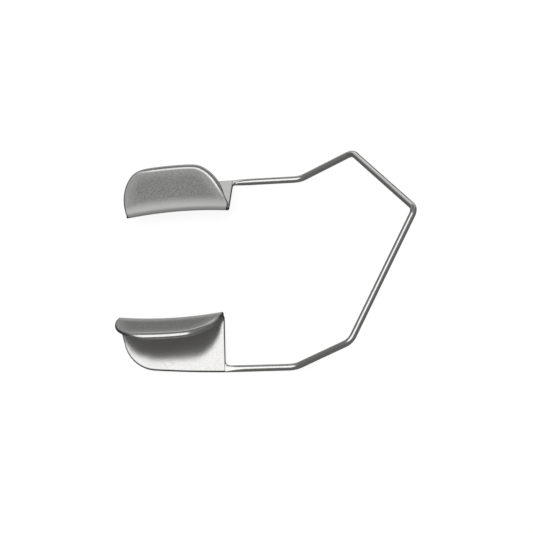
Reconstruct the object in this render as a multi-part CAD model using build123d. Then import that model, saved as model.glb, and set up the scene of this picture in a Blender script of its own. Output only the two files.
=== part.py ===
from build123d import *
from math import atan2, cos, degrees, radians, sin, sqrt, tan
import os

# Self-retaining wire eyelid speculum with two solid blades, lying on its front side.
# X runs along the object (blades at -X, crown of the spring at +X), Y is the direction the
# two sides mirror in, and Z is up. Z = 0 is the plane the two flat arms rest on, and X = 0,
# Y = 0 is the middle of the whole object. Units are millimetres.

# --- spring wire -----------------------------------------------------------------------------
WIRE_D = 0.9
WIRE_R = WIRE_D / 2
FLANGE_X = -5.81            # flange edge that the wire's flattened end butts against
ARM_END_Y = 16.46           # wire centre at the blade
ARM_BEND_X = 3.53           # end of the flat arm, start of the rise
ARM_BEND_Y = 16.58
CORNER_X = 11.26            # sharp corner between the rise and the leg
CORNER_Y = 16.60
CORNER_Z = 5.51
CROWN_X = 20.28             # sharp corner of the crown, on the mirror plane
CROWN_Z = 12.45
ARM_BEND_R = 3.0            # bend radii on the wire's centre line
CORNER_BEND_R = 1.7
CROWN_BEND_R = 1.5
HINGE_SHARE = 0.5           # place of the flexing point along the leg, from crown to corner
FLEX_GAP = 0.12             # free gap between the two rigid lengths at the flexing point
TAPER_LENGTH = 1.6          # the wire's end is ground down to the sheet's thickness over this

# --- blade sheet -----------------------------------------------------------------------------
SHEET = 0.4
BLADE_TILT = 2.4            # the blade falls away from the arm by this angle, degrees
FOLD_X = -12.38             # the blade is turned about a vertical axis at this X
FOLD_RADIUS = 45.0          # from that axis to the front of the fold
FOLD_Y = 9.58               # front of the fold on the blade's middle line
FOLD_Z = 3.36               # height of the fold's centre beside the arm
FOLD_BEND_R = 0.4           # bend radius on the sheet's middle surface
LIP_ANGLE = 30.0            # rise of the lip from the fold, degrees
LIP_STRAIGHT = 5.05
LIP_ROLL_R = 0.75           # rolled rim of the lip
LIP_ROLL_ANGLE = 55.0
FLANGE_ANGLE = 20.3         # fall of the flange from the fold, degrees
FLANGE_STRAIGHT = 8.0       # longer than the flange itself, which is cut to its outline
TURN_HALF_ANGLE = 13.0      # half the swept angle, wider than the blade itself

# --- blade outlines seen from above ----------------------------------------------------------
BLADE_LEFT_X = -20.18
LEFT_FOOT_Y = 9.45          # where the outlines of lip and flange part at the left end
LEFT_FOOT_R = 0.45          # rounding of the folded corner at the left end
RIGHT_FOOT_Y = 9.78         # the same two at the right end
RIGHT_FOOT_R = 0.6
LIP_RIGHT_START = 110.0     # direction in which the lip's right side leaves the fold, degrees
LIP_RIGHT_SIDE = (-7.36, 12.75)
LIP_RIGHT_CORNER = (-10.6, 14.98)
LIP_LEFT_CORNER = (-16.5, 15.0)
LIP_LEFT_SIDE = (-20.33, 11.0)
FLANGE_OUTER_Y = 16.87
FLANGE_OUTER_START = 181.5  # direction in which the flange's outer edge leaves the arm, degrees
FLANGE_LEFT_CORNER = (-15.3, 16.13)
FLANGE_LEFT_SIDE = (-19.3, 12.9)

# --- braze in the inner corner between flange and wire ---------------------------------------
BRAZE_R = 0.6
BRAZE_THICKNESS = 0.34
BRAZE_UNDER_WIRE = 0.25

BLOCK = 40.0                # size of the helper blocks used for trimming


def heading(angle):
    """Unit vector in the plane of a drawing, at an angle in degrees."""
    return Vector(cos(radians(angle)), sin(radians(angle)), 0)


def bend_points(before, corner, after, bend_r):
    """Start, middle and end of the round bend that replaces a sharp corner."""
    to_before = (before - corner).normalized()
    to_after = (after - corner).normalized()
    half = radians(to_before.get_angle(to_after)) / 2
    reach = bend_r / tan(half)
    inward = (to_before + to_after).normalized()
    middle = corner + inward * (bend_r / sin(half) - bend_r)
    return corner + to_before * reach, middle, corner + to_after * reach


def wire_along(points, radii):
    """Round wire through sharp points, each inner point bent to its radius."""
    edges = []
    here = points[0]
    for index, bend_r in enumerate(radii, start=1):
        start, middle, end = bend_points(points[index - 1], points[index], points[index + 1], bend_r)
        edges.append(Line(here, start))
        edges.append(ThreePointArc(start, middle, end))
        here = end
    edges.append(Line(here, points[-1]))
    path = Wire(edges)
    section = Plane(origin=points[0], z_dir=path % 0) * Circle(WIRE_R)
    return sweep(section, path=path)


def wire_points():
    """Sharp points of the upper half of the spring wire, from crown to blade."""
    crown = Vector(CROWN_X, 0, CROWN_Z)
    corner = Vector(CORNER_X, CORNER_Y, CORNER_Z)
    arm_bend = Vector(ARM_BEND_X, ARM_BEND_Y, WIRE_R)
    end = Vector(FLANGE_X, ARM_END_Y, WIRE_R)
    return crown, corner, arm_bend, end


def crown_wire():
    """Crown bend with the inner half of both legs."""
    crown, corner, _, _ = wire_points()
    leg = (corner - crown).normalized()
    stop = crown + (corner - crown) * HINGE_SHARE - leg * (FLEX_GAP / 2)
    mirrored = Vector(stop.X, -stop.Y, stop.Z)
    return wire_along([mirrored, crown, stop], [CROWN_BEND_R])


def arm_wire():
    """Outer half of a leg, the corner, the rise and the flat arm with its tapered end."""
    crown, corner, arm_bend, end = wire_points()
    leg = (corner - crown).normalized()
    start = crown + (corner - crown) * HINGE_SHARE + leg * (FLEX_GAP / 2)
    past_end = end + (end - arm_bend).normalized()
    wire = wire_along([start, corner, arm_bend, past_end], [CORNER_BEND_R, ARM_BEND_R])
    wire -= Pos(FLANGE_X, 0, 0) * Box(BLOCK, BLOCK, BLOCK, align=(Align.MAX, Align.CENTER, Align.CENTER))
    fall = degrees(atan2(WIRE_R - SHEET / 2, TAPER_LENGTH))
    ramp = Pos(0, 0, SHEET / 2) * Rot(0, -fall, 0) * Box(
        BLOCK / 4, BLOCK, WIRE_D, align=(Align.CENTER, Align.CENTER, Align.MIN)
    )
    wire -= Pos(FLANGE_X, 0, WIRE_R) * ramp
    wire -= Pos(FLANGE_X, 0, WIRE_R) * mirror(ramp, about=Plane.XY)
    return wire


def section_side(offset):
    """One side of the blade's section: its curves at an offset from the middle surface."""
    bend_r = FOLD_BEND_R + offset
    centre = Vector(FOLD_Y + FOLD_BEND_R + SHEET / 2, FOLD_Z, 0)
    lip_start = centre + heading(LIP_ANGLE + 90) * bend_r
    lip = Line(lip_start, lip_start + heading(LIP_ANGLE) * LIP_STRAIGHT)
    roll = JernArc(lip @ 1, lip % 1, LIP_ROLL_R + offset, -LIP_ROLL_ANGLE)
    fold = CenterArc(centre, bend_r, LIP_ANGLE + 90, 180 - LIP_ANGLE - FLANGE_ANGLE)
    flange = Line(fold @ 1, (fold @ 1) + heading(-FLANGE_ANGLE) * FLANGE_STRAIGHT)
    return roll, lip, fold, flange


def blade_section():
    """Folded sheet section, drawn with the distance from the turning axis across."""
    outside = section_side(SHEET / 2)
    inside = section_side(-SHEET / 2)
    rim_end = Line(outside[0] @ 1, inside[0] @ 1)
    outer_end = Line(outside[-1] @ 1, inside[-1] @ 1)
    return make_face([*outside, *inside, rim_end, outer_end])


def fold_end(foot_x, foot_y, round_r, inward):
    """Rounded folded corner of the blade: its arc and the line that leads away from the sheet."""
    side = Vector(foot_x, foot_y, 0)
    centre = side + Vector(inward * round_r, 0, 0)
    front = centre - Vector(0, round_r, 0)
    halfway = centre - Vector(inward * round_r * sqrt(0.5), round_r * sqrt(0.5), 0)
    return ThreePointArc(side, halfway, front), Line(front, Vector(front.X, 0, 0))


def outline(edges):
    """Closed outline through the outer edges given, in order from the right end to the left."""
    right_arc, right_line = fold_end(FLANGE_X, RIGHT_FOOT_Y, RIGHT_FOOT_R, -1)
    left_arc, left_line = fold_end(BLADE_LEFT_X, LEFT_FOOT_Y, LEFT_FOOT_R, 1)
    front = Line(right_line @ 1, left_line @ 1)
    return make_face([*edges, right_arc, right_line, front, left_line, left_arc])


def lip_outline():
    """Outline of the lip seen from above."""
    start = (FLANGE_X, RIGHT_FOOT_Y)
    right = TangentArc(start, LIP_RIGHT_SIDE, tangent=heading(LIP_RIGHT_START))
    right_corner = TangentArc(LIP_RIGHT_SIDE, LIP_RIGHT_CORNER, tangent=right % 1)
    top = TangentArc(LIP_RIGHT_CORNER, LIP_LEFT_CORNER, tangent=right_corner % 1)
    left_corner = TangentArc(LIP_LEFT_CORNER, LIP_LEFT_SIDE, tangent=top % 1)
    left = TangentArc(LIP_LEFT_SIDE, (BLADE_LEFT_X, LEFT_FOOT_Y), tangent=left_corner % 1)
    return outline([right, right_corner, top, left_corner, left])


def flange_outline():
    """Outline of the flange seen from above."""
    corner = (FLANGE_X, FLANGE_OUTER_Y)
    right = Line((FLANGE_X, RIGHT_FOOT_Y), corner)
    outer = TangentArc(corner, FLANGE_LEFT_CORNER, tangent=heading(FLANGE_OUTER_START))
    left_corner = TangentArc(FLANGE_LEFT_CORNER, FLANGE_LEFT_SIDE, tangent=outer % 1)
    left = Line(FLANGE_LEFT_SIDE, (BLADE_LEFT_X, LEFT_FOOT_Y))
    return outline([right, outer, left_corner, left])


def blade():
    """Solid blade: one sheet folded into an inner lip and an outer flange."""
    axis = Axis((FOLD_X, FOLD_Y - FOLD_RADIUS, 0), (0, 0, 1))
    section = Plane(origin=(FOLD_X, 0, 0), x_dir=(0, 1, 0), z_dir=(1, 0, 0)) * blade_section()
    sheet = revolve(section.rotate(axis, -TURN_HALF_ANGLE), axis, 2 * TURN_HALF_ANGLE)
    above = extrude(Pos(0, 0, FOLD_Z) * lip_outline(), BLOCK)
    below = extrude(Pos(0, 0, FOLD_Z) * flange_outline(), -BLOCK)
    level = (sheet & above) + (sheet & below)
    pivot = Axis((FLANGE_X, 0, WIRE_R), (0, 1, 0))
    return level.rotate(pivot, -BLADE_TILT)


def braze(wire, sheet):
    """Filler in the inner corner between the flange's edge and the wire."""
    side_y = ARM_END_Y - WIRE_R
    under = side_y + BRAZE_UNDER_WIRE
    foot = (FLANGE_X, side_y - BRAZE_R)
    toe = (FLANGE_X + BRAZE_R, side_y)
    hollow = CenterArc((toe[0], foot[1]), BRAZE_R, 90, 90)
    back = Polyline(toe, (toe[0], under), (FLANGE_X - SHEET / 4, under), (FLANGE_X - SHEET / 4, foot[1]), foot)
    filler = extrude(Pos(0, 0, WIRE_R) * make_face([hollow, back]), BRAZE_THICKNESS / 2, both=True)
    return filler - wire - sheet


def save(name, shape):
    """Write one sub-part."""
    export_step(shape.solids().sort_by(SortBy.VOLUME)[-1], f"parts/{name}.step")


os.makedirs("parts", exist_ok=True)
upper_wire = arm_wire()
upper_blade = blade()
upper_braze = braze(upper_wire, upper_blade)
save("crown_wire", crown_wire())
for name, shape in (("arm_wire", upper_wire), ("blade", upper_blade), ("braze", upper_braze)):
    save(f"upper_{name}", shape)
    save(f"lower_{name}", mirror(shape, about=Plane.XZ))
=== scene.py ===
"""Self-retaining wire eyelid speculum with two solid blades: the looks around its CAD frame.

Every shape is worked out in millimetres in the frame's own axes (X along the object with the
blades at -X, Y the direction the two sides mirror in, Z up) and goes into its mesh in metres.
"""

import logging
from dataclasses import dataclass
from enum import Enum

import bpy
import numpy as np
from mathutils import Matrix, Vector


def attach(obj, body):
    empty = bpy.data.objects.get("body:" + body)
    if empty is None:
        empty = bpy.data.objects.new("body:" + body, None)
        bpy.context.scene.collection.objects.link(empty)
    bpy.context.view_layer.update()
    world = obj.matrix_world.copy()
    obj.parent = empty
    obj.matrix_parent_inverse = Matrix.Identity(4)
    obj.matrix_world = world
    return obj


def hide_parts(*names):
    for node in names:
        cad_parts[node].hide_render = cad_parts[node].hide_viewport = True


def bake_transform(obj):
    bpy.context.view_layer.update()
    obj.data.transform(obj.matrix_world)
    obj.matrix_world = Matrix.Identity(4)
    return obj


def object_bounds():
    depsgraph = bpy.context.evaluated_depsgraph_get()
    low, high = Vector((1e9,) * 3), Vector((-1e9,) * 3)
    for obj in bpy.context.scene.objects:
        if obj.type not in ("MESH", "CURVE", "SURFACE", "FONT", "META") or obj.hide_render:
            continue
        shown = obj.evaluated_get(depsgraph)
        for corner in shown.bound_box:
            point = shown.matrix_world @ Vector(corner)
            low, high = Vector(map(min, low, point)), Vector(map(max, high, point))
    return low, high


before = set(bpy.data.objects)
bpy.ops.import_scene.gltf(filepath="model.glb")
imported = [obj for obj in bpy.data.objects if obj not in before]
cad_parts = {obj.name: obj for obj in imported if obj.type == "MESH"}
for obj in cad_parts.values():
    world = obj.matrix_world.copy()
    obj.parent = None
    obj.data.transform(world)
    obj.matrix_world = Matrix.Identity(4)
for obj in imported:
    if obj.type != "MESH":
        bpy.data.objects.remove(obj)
CAD_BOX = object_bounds()

Array = np.ndarray
Pair = tuple[float, float]
Point = tuple[float, float, float]
Fields = dict[str, Array]
Object, Material = bpy.types.Object, bpy.types.Material
Node, Socket, Tree = bpy.types.Node, bpy.types.NodeSocket, bpy.types.NodeTree

LOG = logging.getLogger("speculum")
MM = 1e-3
WHITE = (1.0, 1.0, 1.0, 1.0)
POLISH_INPUTS = ("Line Scale", "Smudge Scale")
# Ranges over which a mask goes from 0 to 1.
LINE_MARKS = (0.35, 0.7)
HALF_WAY = (0.35, 0.65)
MOTTLE = (0.3, 0.7)
# In millimetres: the wire's radius, where the flanges' inner sides and the wire's ends lie, and
# the thickness of the blades' sheet.
WIRE_R = 0.45
FLANGE_X = -5.81
ARM_END_Y = 16.46
SHEET = 0.4


class Side(Enum):
    """The two sides of the speculum, by the sign of Y."""

    UPPER = 1
    LOWER = -1

    @property
    def label(self) -> str:
        """Word that the side's pieces are named with."""
        return self.name.lower()

    @property
    def body(self) -> str:
        """Moving body that the side's pieces ride on."""
        return f"{self.label}_side"


class Slot(Enum):
    """Material slots of the record."""

    WIRE = "spring_wire"
    SHEET = "blade_sheet"
    BRAZE = "braze"


# --- small geometry ---


def unit(vectors: Array) -> Array:
    """Vectors scaled to length one."""
    return vectors / np.linalg.norm(vectors, axis=-1, keepdims=True)


def smooth(value: Array, low: float, high: float) -> Array:
    """Smooth step 3 t^2 - 2 t^3 of a value, 0 at low and 1 at high."""
    t = np.clip((value - low) / (high - low), 0, 1)
    return t * t * (3 - 2 * t)


def bend(before: Array, corner: Array, after: Array, radius: float, count: int) -> Array:
    """Points on the round bend that replaces a sharp corner.

    The arc's centre lies on the corner's bisector, radius / sin(half the corner's angle) away, and
    the arc turns by 180 degrees less the corner's angle.

    Args:
        before: the sharp point before the corner.
        corner: the sharp corner.
        after: the sharp point after it.
        radius: bend radius on the centre line.
        count: number of points.

    Returns:
        The points, an array of count by 3.
    """
    back, ahead = unit(before - corner), unit(after - corner)
    half = np.arccos(back @ ahead) / 2
    centre = corner + unit(back + ahead) * radius / np.sin(half)
    start = unit(corner + back * radius / np.tan(half) - centre)
    angle = np.linspace(0, np.pi - 2 * half, count)[:, None]
    return centre + radius * (np.cos(angle) * start - np.sin(angle) * back)


def spaced(points: Array, step: float) -> Array:
    """The same open line with its straight stretches divided, so that no gap is over a step.

    Args:
        points: the line's points.
        step: longest gap allowed.

    Returns:
        The divided line.
    """
    gaps = np.linalg.norm(np.diff(points, axis=0), axis=1)
    counts = np.maximum(1, np.ceil(gaps / step)).astype(int)
    parts = [
        a + (b - a) * np.linspace(0, 1, count, endpoint=False)[:, None]
        for a, b, count in zip(points[:-1], points[1:], counts)
    ]
    return np.concatenate([*parts, points[-1:]])


def along(points: Array) -> Array:
    """Distance travelled along a line at each of its points."""
    return np.concatenate([[0.0], np.cumsum(np.linalg.norm(np.diff(points, axis=0), axis=1))])


def tangent_arc(start: Pair, end: Pair, heading: float, count: int) -> tuple[Array, float]:
    """Arc in a plane that leaves its start in a given direction and passes through its end.

    With the chord c, the direction d and its left normal n, the radius is c.c / 2c.n and the arc
    turns by twice the angle between d and c.

    Args:
        start: first point.
        end: last point.
        heading: direction at the start, in degrees.
        count: number of points.

    Returns:
        The points and the direction at the end, in degrees.
    """
    ahead = np.array([np.cos(np.radians(heading)), np.sin(np.radians(heading))])
    left = np.array([-ahead[1], ahead[0]])
    chord = np.subtract(end, start)
    radius = chord @ chord / (2 * chord @ left)
    turn = 2 * np.arctan2(chord @ left, chord @ ahead)
    angle = np.linspace(0, turn, count)[:, None]
    points = np.array(start) + radius * (np.sin(angle) * ahead + (1 - np.cos(angle)) * left)
    return points, heading + np.degrees(turn)


def resampled(points: Array, length: Array, count: int) -> Array:
    """A line's points at even spacing along a given measure of length."""
    at = np.linspace(0, length[-1], count)
    return np.stack([np.interp(at, length, column) for column in points.T], axis=1)


# --- meshes ---


def grid_faces(rows: int, columns: int) -> Array:
    """Quads of a grid whose columns close into a ring.

    Args:
        rows: number of rings.
        columns: vertices in each ring.

    Returns:
        The quads, an array of vertex numbers with four columns.
    """
    row, column = np.meshgrid(np.arange(rows - 1), np.arange(columns), indexing="ij")
    here, below = row * columns, (row + 1) * columns
    after = (column + 1) % columns
    corners = [here + column, here + after, below + after, below + column]
    return np.stack(corners, axis=-1).reshape(-1, 4)


def fan_faces(ring: Array, centre: int) -> Array:
    """Triangles from a ring of vertices to one centre vertex."""
    return np.stack([ring, np.roll(ring, -1), np.full(len(ring), centre)], axis=1)


def enclosed(points: Array, faces: list[Array]) -> float:
    """Signed volume inside faces: the sum of a.(b x c) / 6 over their triangles.

    Args:
        points: the vertices.
        faces: groups of faces, each an array of vertex numbers.

    Returns:
        The volume, positive when the faces point outwards.
    """
    total = 0.0
    for group in faces:
        corner = points[group]
        for last in range(2, group.shape[1]):
            square = np.cross(corner[:, last - 1], corner[:, last])
            total += np.einsum("ij,ij->", corner[:, 0], square)
    return total / 6


def mesh_object(
    name: str,
    points: Array,
    faces: list[Array],
    fields: Fields,
    sharp_ring: int = 0,
) -> Object:
    """Object with its place in its mesh, faces outwards and smooth.

    Args:
        name: the piece's name.
        points: vertices in millimetres.
        faces: groups of faces, each an array of vertex numbers.
        fields: vector attributes on the vertices, by name.
        sharp_ring: number of leading vertices that form a ring whose edges stay sharp.

    Returns:
        The object, linked to the scene.
    """
    if enclosed(points, faces) < 0:
        faces = [group[:, ::-1] for group in faces]
    mesh = bpy.data.meshes.new(name)
    corners = [face for group in faces for face in group.tolist()]
    mesh.from_pydata((points * MM).tolist(), [], corners)
    for key, values in fields.items():
        attribute = mesh.attributes.new(key, "FLOAT_VECTOR", "POINT")
        attribute.data.foreach_set("vector", values.astype(np.float32).ravel())
    mesh.polygons.foreach_set("use_smooth", np.ones(len(mesh.polygons), bool))
    if sharp_ring:
        ends = np.zeros(len(mesh.edges) * 2, np.int32)
        mesh.edges.foreach_get("vertices", ends)
        sharp = mesh.attributes.new("sharp_edge", "BOOLEAN", "EDGE")
        sharp.data.foreach_set("value", (ends.reshape(-1, 2) < sharp_ring).all(axis=1))
    mesh.validate()
    mesh.update()
    return in_scene(name, mesh)


def capped_tube(rings: Array, first: Array, last: Array) -> tuple[Array, list[Array]]:
    """Tube through rings of vertices, closed by a fan of triangles at each end.

    Args:
        rings: the vertices, rings by places by 3.
        first: centre of the first ring.
        last: centre of the last ring.

    Returns:
        The vertices, the two centres last, and the faces.
    """
    rows, around = rings.shape[:2]
    count = rows * around
    points = np.concatenate([rings.reshape(-1, 3), first[None], last[None]])
    ring = np.arange(around)
    caps = fan_faces(ring[::-1], count), fan_faces(ring + count - around, count + 1)
    return points, [grid_faces(rows, around), np.concatenate(caps)]


def in_scene(name: str, data: bpy.types.ID) -> Object:
    """New object in the scene."""
    new = bpy.data.objects.new(name, data)
    bpy.context.scene.collection.objects.link(new)
    return new


def mirrored(points: Array, side: Side) -> Array:
    """Points of the upper side, put on the side wanted."""
    return points * np.array([1, side.value, 1])


# --- finishes ---


@dataclass(frozen=True)
class Graph:
    """A node tree with short ways to add and join nodes."""

    tree: Tree

    def add(self, kind: str, inputs: dict | None = None, **settings: object) -> Node:
        """New node.

        Args:
            kind: the node's type.
            inputs: a value or a socket for each input, by name or number.
            settings: the node's own properties.

        Returns:
            The node.
        """
        node = self.tree.nodes.new(kind)
        for key, value in settings.items():
            setattr(node, key, value)
        self.join(node, inputs or {})
        return node

    def join(self, node: Node, inputs: dict) -> None:
        """Gives a node's inputs their values or sockets.

        Args:
            node: the node.
            inputs: a value or a socket for each input, by name or number.
        """
        for key, value in inputs.items():
            if isinstance(value, Socket):
                self.tree.links.new(value, node.inputs[key])
            else:
                node.inputs[key].default_value = value

    def math(
        self, operation: str, first: object, second: object = 0.0, third: float = 0.0
    ) -> Socket:
        """Result of a Math node."""
        inputs = {0: first, 1: second, 2: third}
        return self.add("ShaderNodeMath", inputs, operation=operation).outputs[0]

    def ramp(
        self, value: object, low: float, high: float, to_low: float = 0.0, to_high: float = 1.0
    ) -> Socket:
        """A value carried smoothly from one range to another."""
        inputs = {"Value": value, 1: low, 2: high, 3: to_low, 4: to_high}
        return self.add("ShaderNodeMapRange", inputs, interpolation_type="SMOOTHSTEP").outputs[0]

    def noise(self, vector: object, scale: object, detail: float, roughness: float = 0.5) -> Socket:
        """Value of a Noise texture."""
        inputs = {"Vector": vector, "Scale": scale, "Detail": detail, "Roughness": roughness}
        return self.add("ShaderNodeTexNoise", inputs).outputs["Fac"]

    def mix(self, share: object, first: object, second: object) -> Socket:
        """Mix of two colours: the first where the share is 0, the second where it is 1."""
        inputs = {0: share, 6: first, 7: second}
        return self.add("ShaderNodeMix", inputs, data_type="RGBA").outputs[2]

    def bump(self, height: object, distance: float, strength: float) -> Socket:
        """Normal of a Bump node."""
        inputs = {"Height": height, "Distance": distance, "Strength": strength}
        return self.add("ShaderNodeBump", inputs).outputs[0]

    def attribute(self, name: str) -> Socket:
        """A mesh's own vector attribute."""
        return self.add("ShaderNodeAttribute", attribute_name=name).outputs["Vector"]


def grey(value: float) -> tuple[float, float, float, float]:
    """Opaque neutral colour, a little warm as stainless steel is."""
    return value, value * 0.995, value * 0.985, 1.0


def new_group(
    name: str, takes: tuple[str, ...], gives: tuple[str, ...]
) -> tuple[Graph, dict[str, Socket], Node]:
    """Empty shader group: a vector, then plain numbers go in, and plain numbers come out.

    Args:
        name: the group's name.
        takes: names of the numbers that go in.
        gives: names of the numbers that come out.

    Returns:
        The group's graph, its input sockets by name, and its output node.
    """
    tree = bpy.data.node_groups.new(name, "ShaderNodeTree")
    tree.interface.new_socket("Vector", in_out="INPUT", socket_type="NodeSocketVector")
    for label in takes:
        tree.interface.new_socket(label, in_out="INPUT", socket_type="NodeSocketFloat")
    for label in gives:
        tree.interface.new_socket(label, in_out="OUTPUT", socket_type="NodeSocketFloat")
    graph = Graph(tree)
    start = graph.add("NodeGroupInput")
    return graph, dict(start.outputs.items()), graph.add("NodeGroupOutput")


def polishing_group() -> Tree:
    """Fine polishing lines and faint smudges.

    Returns:
        A group that gives the lines' height and masks of the lines and of the smudges.
    """
    gives = ("Height", "Lines", "Smudge")
    graph, given, end = new_group("polishing_lines", POLISH_INPUTS, gives)
    lines = graph.noise(given["Vector"], given["Line Scale"], 4.0, 0.6)
    smudge = graph.noise(given["Vector"], given["Smudge Scale"], 2.0)
    marks, smudges = graph.ramp(lines, *LINE_MARKS), graph.ramp(smudge, *HALF_WAY)
    graph.join(end, {"Height": lines, "Lines": marks, "Smudge": smudges})
    return graph.tree


def blasting_group() -> Tree:
    """Tiny pits left by glass beads, and a faint mottle.

    Returns:
        A group that gives the pits' height and a mask of the mottle.
    """
    takes, gives = ("Pit Scale", "Mottle Scale"), ("Height", "Mottle")
    graph, given, end = new_group("bead_blasting", takes, gives)
    cells = {"Vector": given["Vector"], "Scale": given["Pit Scale"]}
    pits = graph.add("ShaderNodeTexVoronoi", cells).outputs["Distance"]
    grain = graph.noise(given["Vector"], given["Mottle Scale"], 3.0, 0.7)
    mottle = graph.ramp(grain, *MOTTLE)
    graph.join(end, {"Height": graph.math("ADD", pits, grain), "Mottle": mottle})
    return graph.tree


@dataclass(frozen=True)
class Finish:
    """What every steel finish has: a name, colour, roughness and scales of the polish."""

    name: str
    colour: float
    roughness: float
    line_scale: float
    smudge_scale: float

    def start(self) -> tuple[Material, Graph, Node, Socket]:
        """New metal material.

        Returns:
            The material, its graph, its Principled shader and its object coordinates.
        """
        material = bpy.data.materials.new(self.name)
        material.use_nodes = True
        graph = Graph(material.node_tree)
        shader = material.node_tree.nodes["Principled BSDF"]
        shader.inputs["Metallic"].default_value = 1.0
        coordinates = graph.add("ShaderNodeTexCoord").outputs["Object"]
        return material, graph, shader, coordinates

    def polish(self, graph: Graph, polishing: Tree, vector: Socket) -> dict[str, Socket]:
        """Outputs of the group of polishing lines, at this finish's scales."""
        inputs = dict(zip(("Vector", *POLISH_INPUTS), (vector, self.line_scale, self.smudge_scale)))
        return dict(graph.add("ShaderNodeGroup", inputs, node_tree=polishing).outputs.items())


@dataclass(frozen=True)
class SatinWire(Finish):
    """Satin-polished spring wire, with lines drawn along it."""

    line_depth: float = 0.0000006
    line_strength: float = 0.6
    line_stretch: Point = (0.12, 2.2, 2.2)
    smudge_roughness: float = 0.05
    mottle_scale: float = 900.0
    mottle_share: float = 0.35
    between_lines: float = 0.93
    mottled: float = 0.86

    def material(self, polishing: Tree) -> Material:
        """The material, with its lines on the wire's own path coordinates.

        Args:
            polishing: the group of polishing lines.

        Returns:
            The material.
        """
        material, graph, shader, place = self.start()
        stretch = {"Vector": graph.attribute("wire_path"), "Scale": self.line_stretch}
        drawn = graph.add("ShaderNodeMapping", stretch).outputs[0]
        lines = self.polish(graph, polishing, drawn)
        dull, full = grey(self.colour * self.between_lines), grey(self.colour)
        bright = graph.mix(lines["Lines"], dull, full)
        mottle = graph.noise(place, self.mottle_scale, 3.0)
        spots = graph.ramp(mottle, *LINE_MARKS, 0.0, self.mottle_share)
        colour = graph.mix(spots, bright, grey(self.colour * self.mottled))
        rough = graph.math("MULTIPLY_ADD", lines["Smudge"], self.smudge_roughness, self.roughness)
        normal = graph.bump(lines["Height"], self.line_depth, self.line_strength)
        graph.join(shader, {"Base Color": colour, "Roughness": rough, "Normal": normal})
        return material


@dataclass(frozen=True)
class BladeSteel(Finish):
    """Blade sheet: matt blasted outside, satin trough, polished rolled rim, painted shade on the
    cut edge, and painted light on the matt faces along the fold and the rim.
    """

    trough_colour: float = 0.8
    trough_roughness: float = 0.2
    # Painted shade: the dark colour painted on the sheet's cut edge.
    edge_shade_colour: float = 0.1
    matt_metallic: float = 0.3
    matt_range: Pair = (0.7, 1.25)
    # Painted light: how much lighter the matt faces are painted, and how far it reaches from the
    # fold's front and from the edge.
    painted_light: float = 2.0
    fold_painted_light: Point = (0.5, 2.0, 1.0)
    rim_painted_light: Point = (0.3, 2.0, 0.4)
    trough_mottled: float = 0.86
    handled_roughness: float = 0.04
    edge_smoothing: float = 0.5
    pit_scale: float = 9000.0
    mottle_scale: float = 5200.0
    pit_depth: float = 0.000008
    pit_strength: float = 0.5
    bright_pits: float = 0.45

    def face_colour(self, graph: Graph, mottle: Socket, zone: Node, bright: object) -> Socket:
        """Colour of the sheet's faces: mottled, and with painted light that makes the matt faces
        lighter along the fold and the rim.

        Args:
            graph: the material's graph.
            mottle: mask of the mottle.
            zone: node that gives the trough's share, q and the distance to the edge.
            bright: share of the bright steel.

        Returns:
            The colour.
        """
        low, high = self.matt_range
        matt = graph.mix(mottle, grey(self.colour * low), grey(self.colour * high))
        # Painted light: the matt faces are painted lighter towards the fold's front and towards the
        # rim.
        from_fold = graph.math("ABSOLUTE", zone.outputs[1])
        near, far, share = self.fold_painted_light
        fold = graph.ramp(from_fold, near, far, share, 0.0)
        near, far, share = self.rim_painted_light
        rim = graph.ramp(zone.outputs[2], near, far, share, 0.0)
        light = grey(self.colour * self.painted_light)
        matt = graph.mix(graph.math("MAXIMUM", fold, rim), matt, light)
        dull, full = grey(self.trough_colour * self.trough_mottled), grey(self.trough_colour)
        return graph.mix(bright, matt, graph.mix(mottle, dull, full))

    def material(self, polishing: Tree, blasting: Tree) -> Material:
        """The material, with its finishes placed by the sheet's own attributes.

        Args:
            polishing: the group of polishing lines.
            blasting: the group of bead blasting.

        Returns:
            The material.
        """
        material, graph, shader, place = self.start()
        zone = graph.add("ShaderNodeSeparateXYZ", {0: graph.attribute("sheet_zone")})
        rim = graph.add("ShaderNodeSeparateXYZ", {0: graph.attribute("sheet_rim")})
        trough = graph.ramp(zone.outputs[0], *HALF_WAY)
        rolled, edge = rim.outputs[0], rim.outputs[1]
        bright = graph.math("MAXIMUM", trough, rolled)
        pits = {"Vector": place, "Pit Scale": self.pit_scale, "Mottle Scale": self.mottle_scale}
        blasted = graph.add("ShaderNodeGroup", pits, node_tree=blasting).outputs
        polished = self.polish(graph, polishing, place)
        face = self.face_colour(graph, blasted["Mottle"], zone, bright)
        # Painted shade: the cut edge, outside the polished roll, is painted dark.
        colour = graph.mix(edge, face, grey(self.edge_shade_colour))
        spread = graph.ramp(bright, 0.0, 1.0, self.roughness, self.trough_roughness)
        smoother = self.edge_smoothing * (self.trough_roughness - self.roughness)
        worn = graph.math("ADD", spread, graph.math("MULTIPLY", edge, smoother))
        handled = graph.math("MULTIPLY", polished["Smudge"], self.handled_roughness)
        rough = graph.math("ADD", worn, handled)
        metal = graph.ramp(bright, 0.0, 1.0, self.matt_metallic, 1.0)
        depth = graph.ramp(bright, 0.0, 1.0, 1.0, self.bright_pits)
        height = graph.math("MULTIPLY", blasted["Height"], depth)
        normal = graph.bump(height, self.pit_depth, self.pit_strength)
        sockets = {"Base Color": colour, "Metallic": metal, "Roughness": rough, "Normal": normal}
        graph.join(shader, sockets)
        return material


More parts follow.
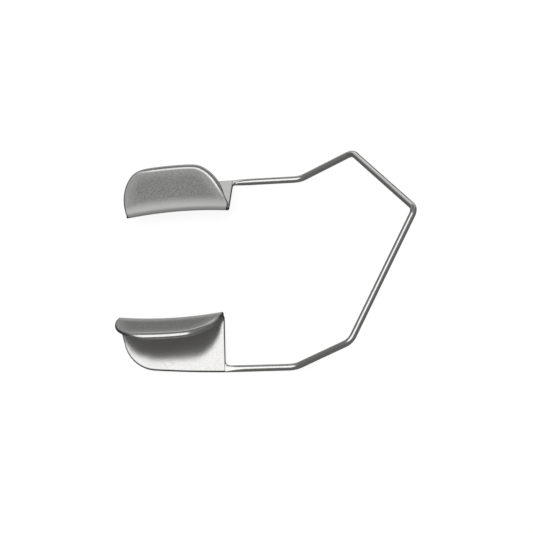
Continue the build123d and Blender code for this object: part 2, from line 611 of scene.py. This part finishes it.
@dataclass(frozen=True)
class BrazeMetal(Finish):
    """Polished filler metal, slightly wavy as it froze."""

    line_roughness: float = 0.08
    smudged: float = 0.9
    wave_scale: float = 1400.0
    wave_depth: float = 0.000015
    wave_strength: float = 0.5

    def material(self, polishing: Tree) -> Material:
        """The material, on object coordinates.

        Args:
            polishing: the group of polishing lines.

        Returns:
            The material.
        """
        material, graph, shader, place = self.start()
        polished = self.polish(graph, polishing, place)
        dull, full = grey(self.colour * self.smudged), grey(self.colour)
        colour = graph.mix(polished["Smudge"], dull, full)
        rough = graph.math("MULTIPLY_ADD", polished["Lines"], self.line_roughness, self.roughness)
        wave = graph.noise(place, self.wave_scale, 2.0)
        normal = graph.bump(wave, self.wave_depth, self.wave_strength)
        graph.join(shader, {"Base Color": colour, "Roughness": rough, "Normal": normal})
        return material


# --- blade ---


@dataclass
class BladeSheet:
    """One solid blade: a sheet folded into a lip with a rolled rim and a sloping flange.

    The middle surface is a section turned about a vertical axis: its two parameters are the turn
    angle and the distance q across the section, 0 at the front of the fold, negative on the lip.
    """

    side: Side
    # The section, and the axis it turns about.
    tilt: float = 2.4
    axis_x: float = -12.38
    axis_y: float = -35.42
    fold_centre: Pair = (10.18, 3.36)
    fold_r: float = 0.4
    lip_angle: float = 31.3
    flange_angle: float = 20.3
    # The outline seen from above; a foot is where a side meets the fold, and its rounding.
    left_x: float = -20.18
    left_foot: Pair = (9.45, 0.45)
    right_foot: Pair = (9.78, 0.6)
    lip_start: float = 110.0
    lip_points: tuple[Pair, ...] = (
        (-7.36, 12.75), (-10.6, 14.98), (-16.9, 15.08), (-20.36, 11.1)
    )
    flange_outer_y: float = 16.87
    flange_start: float = 181.5
    flange_points: tuple[Pair, Pair] = ((-15.3, 16.13), (-19.3, 12.9))
    # The lip's reach, its rolled rim and the places where the rim's roll fades in.
    lip_reach: float = 4.66
    top_softness: float = 8.0
    rim_r: float = 0.4
    rim_turn: float = 110.0
    roll_starts: Pair = (-8.2, -4.0)
    roll_rise: Pair = (0.5, 4.2)
    corner_loss: float = 0.08
    # The sheet's edge, and how far the polish and the cut edge's painted shade run in from it.
    edge_r: float = 0.11
    edge_power: float = 2.6
    polish_fade: Pair = (0.34, 0.6)
    edge_shade_fade: Pair = (0.09, 0.22)
    # The grid.
    columns: int = 300
    fold_rows: int = 12
    face_rows: int = 44
    row_bias: float = 1.6
    spine_inset: float = 0.5 / 45.0
    fold_depth: float = 0.55
    most_fold: float = 0.5
    arc_points: int = 120
    side_points: tuple[int, int] = (80, 60)

    @property
    def lip_bend(self) -> float:
        """Length of the fold's middle surface on the lip's side."""
        return self.fold_r * np.radians(90 - self.lip_angle)

    @property
    def flange_bend(self) -> float:
        """Length of the fold's middle surface on the flange's side."""
        return self.fold_r * np.radians(90 - self.flange_angle)

    def across(self, reach: Array, lip: bool) -> Array:
        """Distance q at which the section lies at a given reach from the fold's centre.

        On the fold q is the arc r (180 degrees - arccos(reach / r)); past it q grows by the
        further reach over the cosine of the slope.

        Args:
            reach: distances outwards from the fold's centre, seen from above.
            lip: whether the lip is meant, and not the flange.

        Returns:
            The values of q, negative on the lip.
        """
        slope = np.radians(self.lip_angle if lip else self.flange_angle)
        length = self.lip_bend if lip else self.flange_bend
        flat_at = -np.sin(slope) * self.fold_r
        bent = (np.pi - np.arccos(np.clip(reach / self.fold_r, -1, 1))) * self.fold_r
        q = np.where(reach > flat_at, length + (reach - flat_at) / np.cos(slope), bent)
        return -q if lip else q

    def polar(self, x: Array, y: Array) -> tuple[Array, Array]:
        """Turn angle and reach from the fold's centre of places seen from above."""
        x, y = x - self.axis_x, y - self.axis_y
        return np.arctan2(x, y), np.hypot(x, y) + self.axis_y - self.fold_centre[0]

    def surface(self, turn: Array, q: Array) -> tuple[Array, Array]:
        """Middle surface before the tilt.

        The section is an arc about the fold's centre that runs on straight at both ends, and the
        turn carries it round the vertical axis.

        Args:
            turn: turn angles, in radians.
            q: distances across the section.

        Returns:
            The points and the unit normals on the outer side.
        """
        on_bend = np.clip(q, -self.lip_bend, self.flange_bend)
        angle = np.pi + on_bend / self.fold_r
        cos, sin, straight = np.cos(angle), np.sin(angle), q - on_bend
        reach = self.fold_centre[0] + self.fold_r * cos - straight * sin
        height = self.fold_centre[1] + self.fold_r * sin + straight * cos
        radius = reach - self.axis_y
        x, y = self.axis_x + radius * np.sin(turn), self.axis_y + radius * np.cos(turn)
        normals = np.stack([cos * np.sin(turn), cos * np.cos(turn), sin], axis=-1)
        return np.stack([x, y, height], axis=-1), normals

    def tilted(self, vectors: Array, are_points: bool) -> Array:
        """Vectors turned by the blade's tilt about a line along Y.

        Args:
            vectors: points or directions.
            are_points: whether they are points, which turn about the wire's end.

        Returns:
            The turned vectors.
        """
        a = -np.radians(self.tilt)
        turn = np.array([[np.cos(a), 0, np.sin(a)], [0, 1, 0], [-np.sin(a), 0, np.cos(a)]])
        pivot = np.array([FLANGE_X, 0, WIRE_R]) if are_points else np.zeros(3)
        return (vectors - pivot) @ turn.T + pivot

    def foot_arc(self, right: bool) -> Array:
        """Plan of a rounded fold end, a quarter of a circle from the fold's front to the side.

        Args:
            right: whether it is the right end, at the wire.

        Returns:
            The points.
        """
        y, r = self.right_foot if right else self.left_foot
        x, inward = (FLANGE_X, -1) if right else (self.left_x, 1)
        angle = np.radians(np.linspace(-90, 0, self.arc_points // 2))
        return np.stack([x + inward * r * (1 - np.cos(angle)), y + r * np.sin(angle)], axis=1)

    def lip_plan(self) -> Array:
        """Plan of the lip's edge: a chain of arcs, each leaving in the last one's direction.

        Returns:
            The points, from the right fold end to the left one.
        """
        chain = [self.foot_arc(True)]
        start, heading = (FLANGE_X, self.right_foot[0]), self.lip_start
        for end in (*self.lip_points, (self.left_x, self.left_foot[0])):
            arc, heading = tangent_arc(start, end, heading, self.arc_points)
            chain.append(arc[1:])
            start = end
        return np.concatenate([*chain, self.foot_arc(False)[::-1][1:]])

    def flange_plan(self) -> Array:
        """Plan of the flange's edge: a straight side, two arcs and a straight side.

        Returns:
            The points, from the right fold end to the left one.
        """
        corner = (FLANGE_X, self.flange_outer_y)
        near, far = self.flange_points
        side = np.linspace((FLANGE_X, self.right_foot[0]), corner, self.side_points[0])
        outer, heading = tangent_arc(corner, near, self.flange_start, self.arc_points)
        turned, _ = tangent_arc(near, far, heading, self.arc_points)
        left = np.linspace(far, (self.left_x, self.left_foot[0]), self.side_points[1])
        last = self.foot_arc(False)[::-1]
        parts = [self.foot_arc(True), *(part[1:] for part in (side, outer, turned, left, last))]
        return np.concatenate(parts)

    def flat_edge(self, plan: Array, lip: bool) -> Array:
        """Edge as turn angle and q, evenly spaced, ending on the fold's front at both ends.

        The lip's edge is held to its reach by a soft minimum, -log(exp(-s a) + exp(-s b)) / s.

        Args:
            plan: the edge seen from above.
            lip: whether it is the lip's edge.

        Returns:
            An array of columns by 2.
        """
        turn, reach = self.polar(plan[:, 0], plan[:, 1])
        if lip:
            s = self.top_softness
            wide = reach - self.corner_loss * self.rim_share(turn, self.across(reach, lip))
            reach = -np.logaddexp(-wide * s, -self.lip_reach * s) / s
        kept = reach > -self.fold_r + 1e-3
        turn, q = turn[kept], self.across(reach[kept], lip)
        turn = np.concatenate([turn[:1], turn, turn[-1:]])
        q = np.concatenate([[0.0], q, [0.0]])
        points, _ = self.surface(turn, q)
        return resampled(np.stack([turn, q], axis=1), along(points), self.columns)

    def rim_share(self, turn: Array, q: Array) -> Array:
        """How far the rim is rolled at an edge point, 0 near the fold and on the left side."""
        return smooth(-q, *self.roll_rise) * smooth(np.degrees(turn), *self.roll_starts)

    def fan(self) -> tuple[Array, Array]:
        """Grid of turn angle and q: rays from the fold's front out to the closed edge.

        Row 0 lies on the fold's front and the last row on the edge; the columns go round the lip
        from right to left and back round the flange. The rows are even across the fold, then close
        up to the edge by the power 1 - (1 - t)^b.

        Returns:
            The turn angles and the q values, each rows by columns.
        """
        lip = self.flat_edge(self.lip_plan(), True)
        flange = self.flat_edge(self.flange_plan(), False)
        right, left = (lip[[0, -1], 0] + flange[[0, -1], 0]) / 2
        lip[0] = flange[0] = (right, 0.0)
        lip[-1] = flange[-1] = (left, 0.0)
        spine = np.linspace(right - self.spine_inset, left + self.spine_inset, self.columns)
        edge = np.concatenate([lip, flange[-2:0:-1]])
        foot = np.concatenate([spine, spine[-2:0:-1]])
        on_fold = np.minimum(self.fold_depth / np.maximum(np.abs(edge[:, 1]), 1e-6), self.most_fold)
        near = np.linspace(0, 1, self.fold_rows, endpoint=False)[:, None] * on_fold
        left_over = (1 - np.linspace(0, 1, self.face_rows)[:, None]) ** self.row_bias
        share = np.concatenate([near, 1 - (1 - on_fold) * left_over])
        return foot + (edge[:, 0] - foot) * share, edge[:, 1] * share

    def edge_distance(
        self, points: Array, normals: Array, share: Array
    ) -> tuple[Array, Array, Array]:
        """Distance of each grid point to the sheet's edge, measured square to the nearest edge.

        Args:
            points: the grid's points.
            normals: its normals.
            share: how far the rim is rolled at each point of the edge.

        Returns:
            The distances, the inward directions there, and the rim's share there.
        """
        edge = points[-1]
        tangent = unit(np.roll(edge, -1, axis=0) - np.roll(edge, 1, axis=0))
        inward = unit(np.cross(normals[-1], tangent))
        a_few_rows_in = points[-6] - edge
        inward *= np.sign(np.einsum("ij,ij->i", inward, a_few_rows_in))[:, None]
        distance = np.zeros(points.shape[:2])
        nearest = np.zeros(points.shape[:2], int)
        for row, line in enumerate(points):
            apart = np.linalg.norm(line[:, None] - edge[None], axis=2)
            nearest[row] = apart.argmin(axis=1)
            square = np.einsum("ij,ij->i", line - edge[nearest[row]], inward[nearest[row]])
            distance[row] = np.clip(square, 0, apart.min(axis=1))
        distance[-1] = 0
        return distance, inward[nearest], share[nearest]

    def rolled(
        self, points: Array, normals: Array, inward: Array, e: Array,
        share: Array,
    ) -> tuple[Array, Array]:
        """Middle surface with the rim rolled round a radius R.

        A point at a distance e from the edge goes to the angle a = turn (1 - e / R), which pulls
        it in by R - e - R sin a and lowers it by R (1 - cos a).

        Args:
            points: the middle surface's points.
            normals: its normals.
            inward: directions away from the edge.
            e: distances to the edge.
            share: how far the rim is rolled there.

        Returns:
            The rolled points and their unit normals.
        """
        turned = share * np.radians(self.rim_turn)
        angle = turned * np.clip(1 - e / self.rim_r, 0, 1)
        flat = np.clip(self.rim_r - e, 0, None)
        pulled = share * (flat - self.rim_r * np.sin(angle))
        lowered = self.rim_r * (1 - np.cos(angle))
        slope = np.arctan2(turned * np.sin(angle), 1 - share + share * turned * np.cos(angle))
        moved = points + inward * pulled[..., None] - normals * lowered[..., None]
        slope = slope[..., None]
        return moved, unit(normals * np.cos(slope) - inward * np.sin(slope))

    def mesh(self) -> tuple[Array, list[Array], Fields]:
        """Both faces of the sheet, joined along the edge.

        The faces lie half the sheet's thickness off the rolled middle surface. The sheet's edge is
        square with well rounded corners: the half thickness is h (1 - (1 - e / r)^p)^(1/p).

        Returns:
            The vertices, the faces and two attributes: the zone, which is the share of the trough's
            finish, q and the distance to the edge, and the rim, which is the share of the polished
            roll, the share of the cut edge's painted shade and how far the rim is rolled.
        """
        turn, q = self.fan()
        points, normals = self.surface(turn, q)
        edge_share = self.rim_share(turn[-1], q[-1])
        e, inward, share = self.edge_distance(points, normals, edge_share)
        points, normals = self.rolled(points, normals, inward, e, share)
        to_edge = 1 - np.clip(e / self.edge_r, 0, 1)
        thin = SHEET / 2 * (1 - to_edge**self.edge_power) ** (1 / self.edge_power)
        off = normals * thin[..., None]
        polished = share * (1 - smooth(e, *self.polish_fade))
        # Painted shade: a band along the sheet's edge, outside the polished roll, that gets the
        # dark edge colour.
        edge_shade = (1 - share) * (1 - smooth(e, *self.edge_shade_fade))
        rim = np.stack([polished, edge_shade, share], axis=-1)
        faces = {
            "place": (points + off, points - off),
            "sheet_zone": [np.stack([0.5 + s * thin / SHEET, q, e], axis=-1) for s in (-1, 1)],
            "sheet_rim": (rim, rim),
        }
        fields = {
            key: np.concatenate([outer.reshape(-1, 3), inner[:-1].reshape(-1, 3)])
            for key, (outer, inner) in faces.items()
        }
        fields, quads = self.joined(fields, *e.shape)
        return self.tilted(fields.pop("place"), True), [quads], fields

    def joined(self, fields: Fields, rows: int, columns: int) -> tuple[Fields, Array]:
        """Faces of the sheet's two grids, joined along the edge and along the fold's front.

        The inner grid takes the outer grid's last row. Row 0 of each grid has every point of the
        fold's front twice, so the flange takes the lip's vertices and the spare ones are dropped.

        Args:
            fields: values on the outer grid's vertices, then on the inner grid's without its edge.
            rows: rows of a grid.
            columns: columns of a grid.

        Returns:
            The values on the vertices kept, and the quads.
        """
        quads = grid_faces(rows, columns)
        outer_count = rows * columns
        number = np.arange(outer_count + (rows - 1) * columns)
        for first in (0, outer_count):
            spare = slice(first + self.columns, first + columns)
            number[spare] = first + np.arange(self.columns - 2, 0, -1)
        on_edge = np.arange(outer_count - columns, outer_count)
        inner = np.concatenate([number[outer_count:], on_edge])[quads[:, ::-1]]
        used, quads = np.unique(np.concatenate([number[quads], inner]), return_inverse=True)
        return {key: values[used] for key, values in fields.items()}, quads.reshape(-1, 4)

    def build(self, material: Material) -> Object:
        """The blade's object, dressed and riding on its side.

        Args:
            material: the blade steel.

        Returns:
            The object.
        """
        points, faces, fields = self.mesh()
        label = self.side.label
        piece = mesh_object(f"{label}_blade_sheet", mirrored(points, self.side), faces, fields)
        piece.data.materials.append(material)
        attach(piece, self.side.body)
        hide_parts(f"{label}_blade")
        return piece

    def flange_at(self, x: Array, y: Array) -> tuple[Array, Array]:
        """The flange's tilted middle surface at places seen from above.

        Args:
            x: the places' X.
            y: the places' Y.

        Returns:
            The points and the upward normals.
        """
        turn, reach = self.polar(x, y)
        points, normals = self.surface(turn, self.across(reach, False))
        return self.tilted(points, True), -self.tilted(normals, False)


# --- wire ---


@dataclass
class SpringWire:
    """Half of the spring wire, from the middle of the crown to its flattened end in the flange."""

    side: Side
    # Sharp corners of the centre line, and the radii of the bends that round the first three.
    crown: Point = (20.28, 0.0, 12.45)
    corner: Point = (11.26, 16.60, 5.51)
    arm_bend: Point = (3.53, 16.58, 0.45)
    end: Point = (FLANGE_X, ARM_END_Y, WIRE_R)
    bend_radii: Point = (1.5, 1.7, 3.0)
    # The flattened end: its taper before the flange, and the tongue in the sheet, which dips,
    # leans, thins and narrows.
    taper: float = 1.6
    tongue: float = 1.3
    tongue_dip: float = 0.05
    dip_run: Pair = (0.0, 0.8)
    tongue_lean: float = 0.02
    tongue_thinning: float = 0.03
    thinning_run: Pair = (0.0, 0.6)
    tongue_narrowing: float = 0.14
    narrowing_run: Pair = (-0.2, 0.7)
    flat_power: int = 6
    # Shares of the leg between which the real wire bends when it flexes.
    flexing: Pair = (0.09, 0.91)
    # The grid.
    around: int = 48
    step: float = 0.13
    crown_points: int = 41
    bend_points: int = 24
    tongue_points: int = 13

    def centre_line(self, blade: BladeSheet) -> tuple[Array, Array]:
        """Centre line from the crown's middle, through three bends, to the tongue in the sheet.

        Args:
            blade: the blade that the wire ends in.

        Returns:
            The points, and each point's distance before the flange's edge.
        """
        crown, corner, arm_bend, end = (
            np.array(point) for point in (self.crown, self.corner, self.arm_bend, self.end)
        )
        crown_r, corner_r, arm_r = self.bend_radii
        opposite = corner * np.array([1, -1, 1])
        line = np.concatenate([
            bend(opposite, crown, corner, crown_r, self.crown_points)[self.crown_points // 2 :],
            bend(crown, corner, arm_bend, corner_r, self.bend_points),
            bend(corner, arm_bend, end, arm_r, self.bend_points),
            end[None],
        ])
        x = FLANGE_X - np.linspace(0, self.tongue, self.tongue_points + 1)[1:]
        dip = self.tongue_dip * smooth(FLANGE_X - x, *self.dip_run)
        y = ARM_END_Y - dip + self.tongue_lean * (x - FLANGE_X)
        line = np.concatenate([spaced(line, self.step), blade.flange_at(x, y)[0]])
        length = along(line)
        return line, length[-self.tongue_points - 1] - length

    def mesh(self) -> tuple[Array, list[Array], Array]:
        """Tube along the centre line.

        A ring is (R cos t, z) with z = R sin t / (1 + (R |sin t| / h)^6)^(1/6), a circle whose top
        and bottom are flattened to the height h, which falls to half the sheet at the flange.

        Returns:
            The vertices, the faces, and the path attribute: distance along, then place around.
        """
        blade = BladeSheet(self.side)
        line, before = self.centre_line(blade)
        ahead = np.gradient(line, axis=0)
        ahead[0] = (0, 1, 0)
        ahead = unit(ahead)
        _, up = blade.flange_at(*self.end[:2])
        up = unit(up - (ahead @ up)[:, None] * ahead)
        across = np.cross(ahead, up)
        angle = np.arange(self.around) / self.around * 2 * np.pi
        flat = SHEET / 2 + (WIRE_R - SHEET / 2) * np.clip(before, 0, None) / self.taper
        flat = flat - self.tongue_thinning * smooth(-before, *self.thinning_run)
        width = WIRE_R * (1 - self.tongue_narrowing * smooth(-before, *self.narrowing_run))
        height = WIRE_R * np.sin(angle)[None] * np.ones((len(line), 1))
        power = self.flat_power
        z = height / (1 + (np.abs(height) / flat[:, None]) ** power) ** (1 / power)
        x = width[:, None] * np.cos(angle)[None]
        rings = line[:, None] + across[:, None] * x[..., None] + up[:, None] * z[..., None]
        length = along(line)
        place = np.stack([np.repeat(length[:, None], self.around, axis=1), x, z], axis=-1)
        place = np.concatenate([place.reshape(-1, 3), [[0, 0, 0]], [[length[-1], 0, 0]]])
        return *capped_tube(rings, line[0], line[-1]), place

    def build(self, material: Material) -> Object:
        """The wire's object, dressed.

        Args:
            material: the wire steel.

        Returns:
            The object.
        """
        points, faces, place = self.mesh()
        label = self.side.label
        points = mirrored(points, self.side)
        piece = mesh_object(
            f"{label}_spring_wire", points, faces, {"wire_path": place}, sharp_ring=self.around
        )
        piece.data.materials.append(material)
        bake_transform(piece)
        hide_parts(f"{label}_arm_wire", "crown_wire")
        return piece


# --- braze ---


@dataclass
class BrazeFillet:
    """Filler in the inner corner between a flange's edge and the wire."""

    side: Side
    radius: float = 0.6
    under: float = 0.25
    recess: float = 0.008
    around: int = 40
    rows: int = 24
    row_bias: float = 1.5

    def mesh(self) -> tuple[Array, list[Array]]:
        """Web on the flange's middle surface, carried on past its edge.

        Rays leave the hollow's centre, cross the hollow's arc at t = 0 and end inside the wire or
        the flange at t = 1. The thickness is that of the sheet, with a rounded hollow edge: the
        half thickness is h sqrt(1 - (1 - d / h)^2) at a distance d from the arc.

        Returns:
            The vertices and the faces.
        """
        blade = BladeSheet(self.side)
        wire_side = ARM_END_Y - WIRE_R
        centre = np.array([FLANGE_X + self.radius, wire_side - self.radius])
        angle = np.linspace(np.pi / 2, np.pi, self.around)[:, None]
        out = np.concatenate([np.cos(angle), np.sin(angle)], axis=1)
        reach = (self.radius + self.under) / np.abs(out).max(axis=1)
        share = (np.linspace(0, 1, self.rows) ** self.row_bias)[None, :, None]
        distance = self.radius + (reach - self.radius)[:, None, None] * share
        plan = centre + out[:, None] * distance
        middle, _ = blade.flange_at(plan[..., 0], plan[..., 1])
        _, normal = blade.flange_at(FLANGE_X, ARM_END_Y)
        half = SHEET / 2 - self.recess
        inset = np.clip((distance[..., 0] - self.radius) / half, 0, 1)
        thin = (half * np.sqrt(1 - (1 - inset) ** 2))[..., None]
        top, bottom = middle + normal * thin, middle - normal * thin
        rings = np.concatenate([top, bottom[:, :0:-1]], axis=1)
        return capped_tube(rings, rings[0].mean(axis=0), rings[-1].mean(axis=0))

    def build(self, material: Material) -> Object:
        """The fillet's object, dressed and riding on its side.

        Args:
            material: the braze metal.

        Returns:
            The object.
        """
        points, faces = self.mesh()
        label = self.side.label
        piece = mesh_object(f"{label}_braze_fillet", mirrored(points, self.side), faces, {})
        piece.data.materials.append(material)
        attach(piece, self.side.body)
        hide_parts(f"{label}_braze")
        return piece


# --- studio ---


@dataclass
class Studio:
    """White table, grey surroundings, one broad soft light overhead, and the camera."""

    # The camera: its axes, and the point of the object that it looks at.
    sensor: float = 36.0
    view_width: float = 72.75
    distance: float = 450.0
    back: Point = (0.08879, -0.63663, 0.76604)
    right: Point = (0.99516, 0.02417, -0.09526)
    up: Point = (0.04213, 0.77079, 0.63569)
    aim: Pair = (-0.49, 0.76)
    aim_origin: Point = (-0.265, 0.0, 0.45)
    # The light, in metres and watts.
    light_aim: Point = (-0.2, -0.34, 0.92)
    light_distance: float = 0.6
    light_size: float = 0.66
    light_power: float = 1.15
    # The surroundings and the card, by the height and the depth of a direction.
    surroundings: Pair = (0.09, 0.2)
    surround_heights: Pair = (-0.3, 0.8)
    card: float = 0.62
    card_depths: Pair = (0.55, 0.9)
    card_heights: Pair = (0.2, 0.48)
    # The table, in metres.
    table_reach: float = 1.5
    table_gap: float = 2e-5
    table_tones: Pair = (0.30, 0.33)
    table_glow: float = 0.9
    table_bounce: float = 0.32

    def aimed(self, new: Object, place: Array, axes: list[Array]) -> None:
        """Puts an object at a place in metres, with its X, Y and Z along the axes."""
        turn = Matrix(np.stack(axes, axis=1).tolist()).to_4x4()
        new.matrix_world = Matrix.Translation(place.tolist()) @ turn

    def camera(self) -> Object:
        """Long lens that looks down on the object from its lower side.

        Returns:
            The camera's object.
        """
        right, up, back = (np.array(axis) for axis in (self.right, self.up, self.back))
        seen = np.array(self.aim_origin) + right * self.aim[0] + up * self.aim[1]
        data = bpy.data.cameras.new("camera")
        data.sensor_width = self.sensor
        data.lens = self.sensor * self.distance / self.view_width
        data.clip_start = 0.01
        camera = in_scene("camera", data)
        self.aimed(camera, (seen + back * self.distance) * MM, [right, up, back])
        bpy.context.scene.camera = camera
        return camera

    def light(self) -> Object:
        """Round soft box above the object, leaning to the lower side.

        Returns:
            The light's object.
        """
        data = bpy.data.lights.new("overhead_light", "AREA")
        data.shape = "DISK"
        data.size = self.light_size
        data.energy = self.light_power
        lamp = in_scene("overhead_light", data)
        aim = unit(np.array(self.light_aim))
        side = unit(np.cross((0.0, 1.0, 0.0), aim))
        self.aimed(lamp, aim * self.light_distance, [side, np.cross(aim, side), aim])
        return lamp

    def surround(self) -> bpy.types.World:
        """White to the camera; in the steel, grey surroundings and a white card behind the object.

        Returns:
            The world.
        """
        world = bpy.data.worlds.new("studio")
        world.use_nodes = True
        bpy.context.scene.world = world
        graph = Graph(world.node_tree)
        graph.tree.nodes.clear()
        direction = graph.add("ShaderNodeTexCoord").outputs["Generated"]
        heading = graph.add("ShaderNodeSeparateXYZ", {0: direction})
        depth, height = heading.outputs[1], heading.outputs[2]
        level = graph.ramp(height, *self.surround_heights, *self.surroundings)
        wide = graph.ramp(depth, *self.card_depths, 0.0, self.card)
        low = graph.ramp(height, *self.card_heights, 1.0, 0.0)
        level = graph.math("ADD", level, graph.math("MULTIPLY", wide, low))
        seen = graph.add("ShaderNodeLightPath").outputs["Is Camera Ray"]
        around = graph.add("ShaderNodeBackground", {"Color": level, "Strength": 1.0}).outputs[0]
        white = graph.add("ShaderNodeBackground", {"Color": WHITE, "Strength": 1.0}).outputs[0]
        both = graph.add("ShaderNodeMixShader", {0: seen, 1: around, 2: white}).outputs[0]
        graph.add("ShaderNodeOutputWorld", {"Surface": both})
        return world

    def table_finish(self) -> Material:
        """White to the camera, with faint shadows; dimmer in the steel's reflections.

        Returns:
            The material.
        """
        material = bpy.data.materials.new("white_table")
        material.use_nodes = True
        graph = Graph(material.node_tree)
        graph.tree.nodes.clear()
        seen = graph.add("ShaderNodeLightPath").outputs["Is Camera Ray"]
        paper = graph.noise(graph.add("ShaderNodeTexCoord").outputs["Object"], 40.0, 3.0)
        tone = graph.mix(paper, *(grey(value) for value in self.table_tones))
        matt = graph.add("ShaderNodeBsdfDiffuse", {"Color": tone}).outputs[0]
        shine = {"Color": WHITE, "Strength": self.table_glow}
        glow = graph.add("ShaderNodeEmission", shine).outputs[0]
        lit = graph.add("ShaderNodeAddShader", {0: matt, 1: glow}).outputs[0]
        dim = graph.add("ShaderNodeBsdfDiffuse", {"Color": grey(self.table_bounce)}).outputs[0]
        both = graph.add("ShaderNodeMixShader", {0: seen, 1: dim, 2: lit}).outputs[0]
        graph.add("ShaderNodeOutputMaterial", {"Surface": both})
        return material

    def table(self) -> Object:
        """Plain white table top under the arms: one square.

        Returns:
            The table's object.
        """
        r, low = self.table_reach, CAD_BOX[0][2] - self.table_gap
        corners = [(-r, -r, low), (r, -r, low), (r, r, low), (-r, r, low)]
        mesh = bpy.data.meshes.new("table")
        mesh.from_pydata(corners, [], [(0, 1, 2, 3)])
        mesh.materials.append(self.table_finish())
        return in_scene("table", mesh)

    def build(self) -> None:
        """Sets everything up around the object."""
        bpy.context.scene.view_settings.view_transform = "Standard"
        self.camera()
        self.light()
        self.surround()
        self.table()


def main() -> None:
    """Builds the pieces of both sides, then the studio."""
    logging.basicConfig(level=logging.INFO, format="%(message)s")
    polishing, blasting = polishing_group(), blasting_group()
    wire_steel = SatinWire("satin_spring_steel", 0.85, 0.16, 5.0, 0.8)
    blade_steel = BladeSteel("blasted_blade_steel", 0.44, 0.52, 2600.0, 260.0)
    braze_metal = BrazeMetal("polished_braze", 0.78, 0.22, 3000.0, 1200.0)
    wire_look = wire_steel.material(polishing)
    blade_look = blade_steel.material(polishing, blasting)
    braze_look = braze_metal.material(polishing)
    for side in Side:
        pieces = [
            SpringWire(side).build(wire_look),
            BladeSheet(side).build(blade_look),
            BrazeFillet(side).build(braze_look),
        ]
        for piece in pieces:
            LOG.info("%s: %d faces", piece.name, len(piece.data.polygons))
    Studio().build()


if __name__ == "__main__":
    main()
